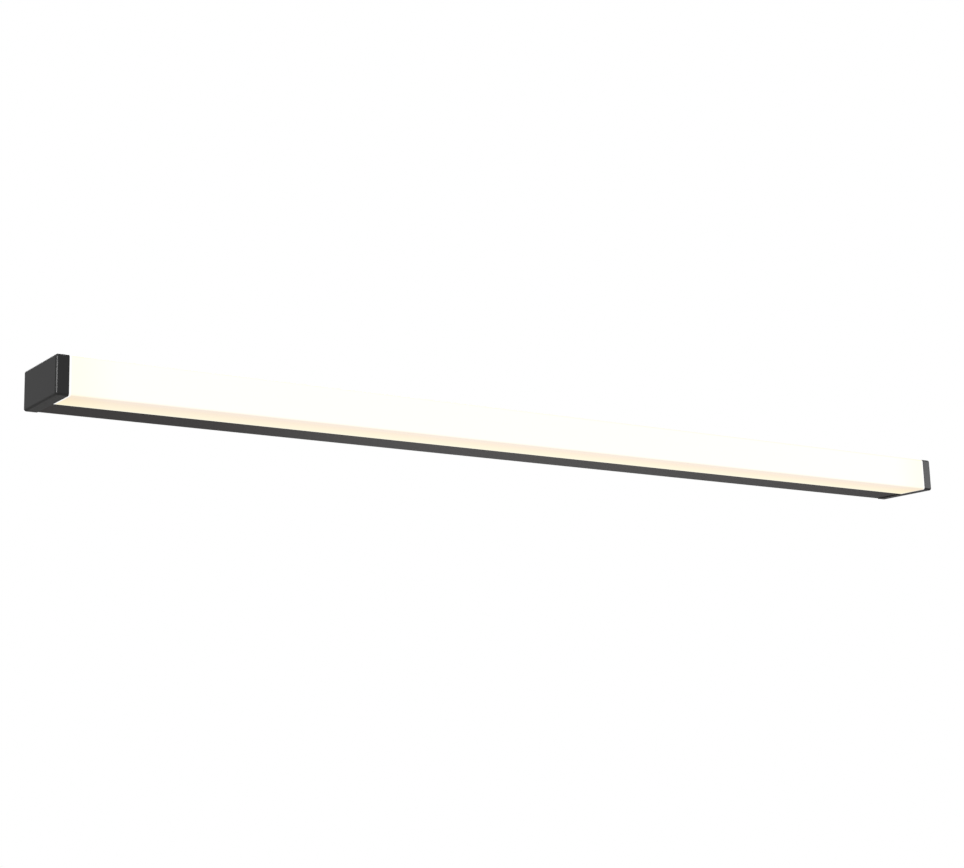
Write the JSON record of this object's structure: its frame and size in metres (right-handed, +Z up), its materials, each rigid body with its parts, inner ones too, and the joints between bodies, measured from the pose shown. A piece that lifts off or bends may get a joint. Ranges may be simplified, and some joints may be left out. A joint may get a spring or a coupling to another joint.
{
  "type": "vanity light bar",
  "caption": "Slim wall-mounted vanity light bar: black channel with a lit opal cover and black end caps, held on a steel wall bracket that it lifts off.",
  "frame": {"origin": "middle of the wall bracket's flat back, where it meets the wall", "axes": "+X along the bar to the right as seen from the room, +Y into the wall, so that the lit front faces -Y, and +Z up"},
  "size_m": [1.2, 0.084, 0.04],
  "materials": {
    "black_cap": "satin black moulded polycarbonate, fine grain",
    "black_coat": "black powder coat on extruded aluminium",
    "opal": "opal acrylic, lit from inside, soft satin surface",
    "zinc_steel": "zinc-plated steel",
    "plain_steel": "plain stainless steel screws",
    "blackened_steel": "blackened steel screws",
    "brass": "machined brass",
    "black_rubber": "matt black rubber",
    "white_board": "white solder mask with LED packages",
    "white_plastic": "white moulded plastic",
    "circuit_board": "green circuit board with its parts",
    "brown_lead": "brown PVC insulation",
    "blue_lead": "blue PVC insulation",
    "earth_lead": "green and yellow PVC insulation",
    "red_lead": "red PVC insulation",
    "black_lead": "black PVC insulation"
  },
  "bodies": {
    "bracket": {"wall_bracket": "zinc_steel", "cable_entry_bushing": "black_rubber", "clamp_screw_left": "blackened_steel", "clamp_screw_right": "blackened_steel"},
    "luminaire": {"board_link_1": "white_plastic", "board_link_2": "white_plastic", "board_link_3": "white_plastic", "board_screw_1": "plain_steel", "board_screw_2": "plain_steel", "board_screw_3": "plain_steel", "board_screw_4": "plain_steel", "board_screw_5": "plain_steel", "board_screw_6": "plain_steel", "board_screw_7": "plain_steel", "board_screw_8": "plain_steel", "cap_screw_left_lower": "plain_steel", "cap_screw_left_upper": "plain_steel", "cap_screw_right_lower": "plain_steel", "cap_screw_right_upper": "plain_steel", "dc_lead_minus": "black_lead", "dc_lead_plus": "red_lead", "diffuser": "opal", "driver_circuit_board": "circuit_board", "driver_lid": "white_plastic", "driver_screw_left": "plain_steel", "driver_screw_right": "plain_steel", "driver_tray": "white_plastic", "earth_lock_washer": "zinc_steel", "earth_ring_terminal": "zinc_steel", "earth_screw": "zinc_steel", "end_cap_left": "black_cap", "end_cap_right": "black_cap", "end_gasket_left": "black_rubber", "end_gasket_right": "black_rubber", "feed_bushing": "black_rubber", "feed_connector": "white_plastic", "housing": "black_coat", "led_board_1": "white_board", "led_board_2": "white_board", "led_board_3": "white_board", "led_board_4": "white_board", "mains_lead_earth": "earth_lead", "mains_lead_live": "brown_lead", "mains_lead_neutral": "blue_lead", "terminal_block": "white_plastic", "terminal_block_screw": "plain_steel", "terminal_clamp_earth": "brass", "terminal_clamp_live": "brass", "terminal_clamp_neutral": "brass"}
  },
  "joints": [
    {"name": "lift_off", "type": "slide", "parent": "bracket", "child": "luminaire", "axis": [0, -1, 0], "range_m": [0, 0.045]}
  ]
}
